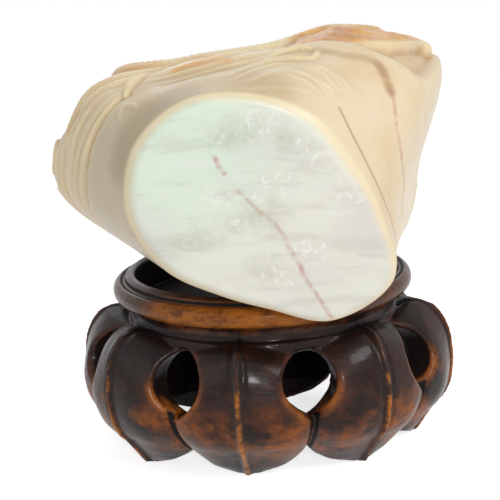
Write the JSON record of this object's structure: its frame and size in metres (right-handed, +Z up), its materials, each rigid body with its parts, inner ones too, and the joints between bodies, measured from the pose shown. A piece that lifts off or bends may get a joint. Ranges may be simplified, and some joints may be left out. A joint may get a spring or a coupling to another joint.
{
  "type": "stone dragon carving on stand",
  "caption": "Pale soapstone boulder with a flat foot and dragon relief, laid on its side across a pierced hardwood stand of ribbed petals.",
  "frame": {"origin": "on the ground, in the middle of the object's own box", "axes": "+Z up; -Y is the front, where the stone's flat foot faces; +X is to the right as seen from the front"},
  "size_m": [0.101, 0.1074, 0.1098],
  "materials": {
    "hardwood": "polished dark red-brown hardwood, near black in the hollows, worn to amber on ribs and bead",
    "soapstone": "waxed, slightly translucent pale soapstone, cream to pale green-grey, with orange skin and red veins"
  },
  "bodies": {
    "stand": {"wood_stand": "hardwood"},
    "stone": {"stone_carving": "soapstone"}
  },
  "joints": [
    {"name": "stone_lift", "type": "slide", "parent": "stand", "child": "stone", "axis": [0, 0, 1], "range_m": [0, 0.06]}
  ]
}
